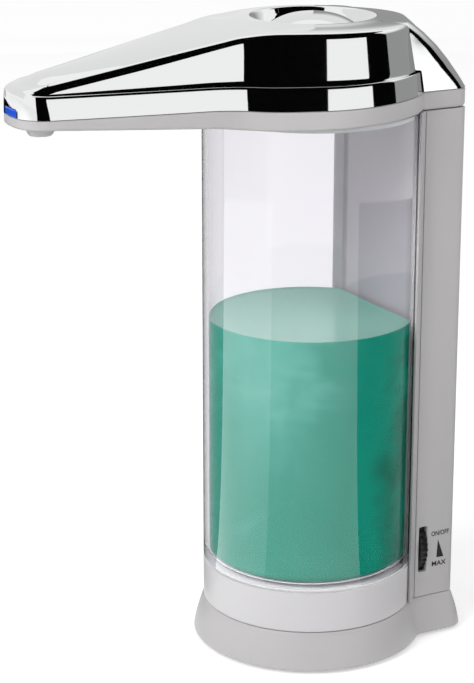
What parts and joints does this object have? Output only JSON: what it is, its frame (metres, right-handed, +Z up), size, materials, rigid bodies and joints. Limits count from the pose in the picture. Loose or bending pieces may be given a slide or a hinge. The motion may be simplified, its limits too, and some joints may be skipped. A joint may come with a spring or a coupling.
{
  "type": "automatic soap dispenser",
  "caption": "Touch-free dispenser with a flared base, clear soap tank, battery column and a long chromed spout head with fill cap, drop nozzle and side volume dial.",
  "frame": {"origin": "middle of the footprint's box, on the surface that the feet stand on", "axes": "+Z up along the tank, +X to the dial's side, -Y the way the spout points"},
  "size_m": [0.093, 0.1833, 0.2539],
  "materials": {
    "grey_plastic": "satin moulded",
    "pale_plastic": "satin moulded",
    "white_plastic": "satin moulded",
    "black_plastic": "satin moulded",
    "smoked_plastic": "polished, dark",
    "chromed_plastic": "bright plated",
    "clear_plastic": "clear, polished",
    "liquid_soap": "pearly green liquid",
    "black_rubber": "matte",
    "clear_silicone": "translucent",
    "blue_lens": "clear blue lens",
    "board": "solder mask",
    "cell_jacket": "plain foil jacket",
    "brass_strip": "bare strip",
    "steel": "plated"
  },
  "bodies": {
    "housing": {"base_skirt": "grey_plastic", "base_plate": "grey_plastic", "rubber_foot_1": "black_rubber", "rubber_foot_2": "black_rubber", "rubber_foot_3": "black_rubber", "rubber_foot_4": "black_rubber", "base_screw_1": "steel", "base_screw_2": "steel", "base_screw_3": "steel", "base_screw_4": "steel", "base_screw_5": "steel", "base_screw_6": "steel", "tank_collar": "pale_plastic", "tank": "clear_plastic", "liquid_soap": "liquid_soap", "tank_outlet": "white_plastic", "suction_tube": "clear_silicone", "tank_top_seal": "clear_silicone", "column_front_panel": "grey_plastic", "column_rear_shell": "grey_plastic", "head_cover": "chromed_plastic", "indicator_window": "blue_lens", "head_tray": "grey_plastic", "sensor_window": "smoked_plastic", "head_screw_left": "steel", "head_screw_right": "steel", "filler_neck": "white_plastic", "nozzle": "white_plastic", "nozzle_valve": "clear_silicone", "sensor_board": "board", "infrared_emitter": "clear_silicone", "infrared_receiver": "smoked_plastic", "indicator_lamp": "blue_lens", "dial_potentiometer": "black_plastic", "control_board": "board", "battery_tray": "black_plastic", "battery_1": "cell_jacket", "battery_2": "cell_jacket", "battery_3": "cell_jacket", "battery_4": "cell_jacket", "contact_spring_left": "steel", "contact_spring_right": "steel", "contact_link": "brass_strip", "pump_body": "white_plastic", "pump_cover": "white_plastic", "driven_axle": "steel", "motor_can": "steel", "motor_cradle": "black_plastic", "delivery_tube": "clear_silicone", "sensor_cable": "white_plastic"},
    "fill_cap": {"fill_cap": "chromed_plastic", "fill_cap_seal": "black_rubber"},
    "volume_dial": {"volume_dial": "black_plastic"},
    "battery_door": {"battery_door": "grey_plastic"},
    "pump_drive": {"drive_gear": "pale_plastic", "motor_shaft": "steel"},
    "driven_gear": {"driven_gear": "pale_plastic"}
  },
  "joints": [
    {"name": "fill_cap_lift", "type": "slide", "parent": "housing", "child": "fill_cap", "axis": [0, 0, 1], "range_m": [0, 0.045]},
    {"name": "volume_dial_turn", "type": "hinge", "parent": "housing", "child": "volume_dial", "pos_m": [0.0168, 0.07245, 0.0365], "axis": [0, 1, 0], "range_deg": [0, 270]},
    {"name": "battery_door_swing", "type": "hinge", "parent": "housing", "child": "battery_door", "pos_m": [0, 0.08765, 0.06], "axis": [-1, 0, 0], "range_deg": [0, 60]},
    {"name": "pump_drive_turn", "type": "hinge", "parent": "housing", "child": "pump_drive", "pos_m": [0, 0.03015, 0.0131], "axis": [0, 1, 0], "continuous": true},
    {"name": "driven_gear_turn", "type": "hinge", "parent": "housing", "child": "driven_gear", "pos_m": [-0.0103, 0.03015, 0.0131], "axis": [0, 1, 0], "continuous": true}
  ],
  "couplings": [
    {"joint": "driven_gear_turn", "follows": "pump_drive_turn", "ratio": -1}
  ]
}
